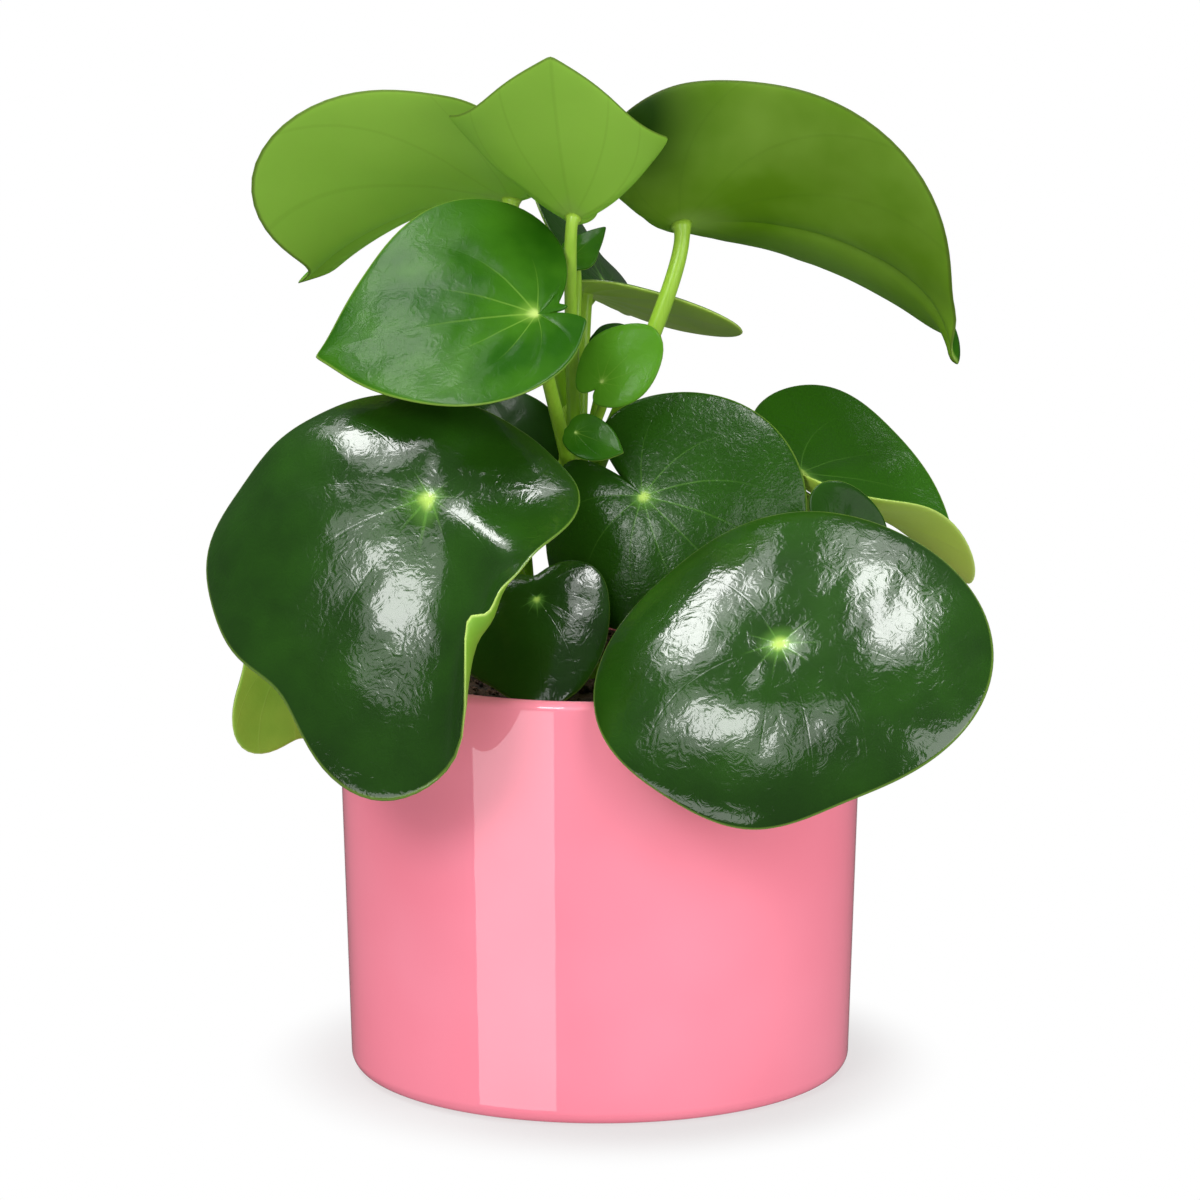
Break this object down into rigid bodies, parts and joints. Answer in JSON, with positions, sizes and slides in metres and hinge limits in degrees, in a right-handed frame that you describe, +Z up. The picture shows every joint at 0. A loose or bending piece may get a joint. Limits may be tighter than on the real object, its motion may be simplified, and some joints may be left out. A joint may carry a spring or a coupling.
{
  "type": "potted plant",
  "caption": "Small peperomia with heart-shaped glossy leaves on fleshy stalks, rooted in soil in a round, slightly tapered glazed pot.",
  "frame": {"origin": "middle of the pot's flat base, where it stands", "axes": "+Z up along the pot's axis, -Y towards the front that the picture shows, +X to the right of that front"},
  "size_m": [0.2028, 0.1921, 0.2764],
  "materials": {
    "pink_glaze": "smooth glossy pink glaze",
    "soil": "crumbly dark brown potting mix",
    "green_stalk": "smooth fleshy light green stalk",
    "young_leaf": "glossy bright green leaf",
    "old_leaf": "glossy dark green leaf"
  },
  "bodies": {
    "root": {"pot": "pink_glaze", "soil": "soil", "stem_main": "green_stalk", "stem_left": "green_stalk", "stem_right": "green_stalk", "leaf_upper_left": "young_leaf", "leaf_top": "young_leaf", "leaf_upper_right": "young_leaf", "leaf_middle_left": "young_leaf", "leaf_middle_back": "old_leaf", "leaf_young_centre": "young_leaf", "leaf_young_small": "young_leaf", "leaf_young_pointed": "young_leaf", "leaf_young_dark": "old_leaf", "leaf_top_back": "old_leaf", "leaf_front_left": "old_leaf", "leaf_front_right": "old_leaf", "leaf_centre_right": "old_leaf", "leaf_centre_front": "old_leaf", "leaf_right_folded": "old_leaf", "leaf_right_dark": "old_leaf", "leaf_left_dark": "old_leaf", "leaf_low_left": "old_leaf", "leaf_back_left": "old_leaf", "leaf_back_right": "old_leaf", "leaf_back_centre": "old_leaf", "leaf_back_upper": "old_leaf"}
  },
  "joints": []
}
